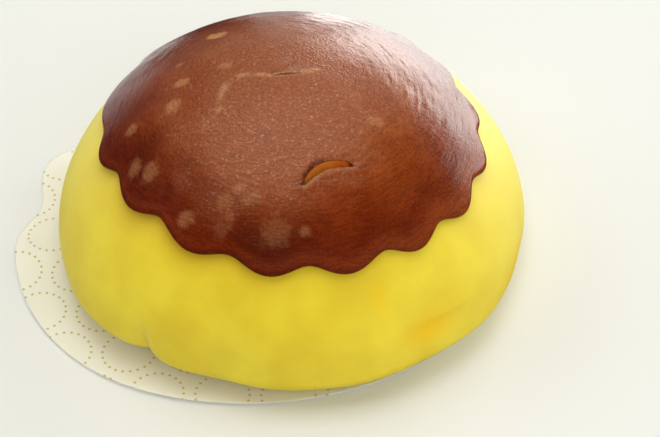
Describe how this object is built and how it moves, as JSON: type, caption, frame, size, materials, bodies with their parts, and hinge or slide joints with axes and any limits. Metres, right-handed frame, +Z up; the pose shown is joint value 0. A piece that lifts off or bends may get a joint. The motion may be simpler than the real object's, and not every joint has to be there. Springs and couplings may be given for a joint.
{
  "type": "chinese steamed bun",
  "caption": "Domed steamed bun of yellow dough under a thin caramel-brown cap with a scalloped rim and splits, resting on a thin round paper liner.",
  "frame": {"origin": "where the dome's axis meets the table, in the flat middle of the paper liner's underside", "axes": "+Z up the dome's axis; -Y towards the front, where the wide split and the tuck are; +X to the right seen from the front"},
  "size_m": [0.1058, 0.1017, 0.0468],
  "materials": {
    "dough": "soft steamed dough, satin",
    "caramel_cap": "browned dough skin, fine wrinkles, satin gloss",
    "paper_liner": "thin translucent glassine with a dotted print"
  },
  "bodies": {
    "root": {"dough": "dough", "caramel_cap": "caramel_cap", "paper_liner": "paper_liner"}
  },
  "joints": []
}
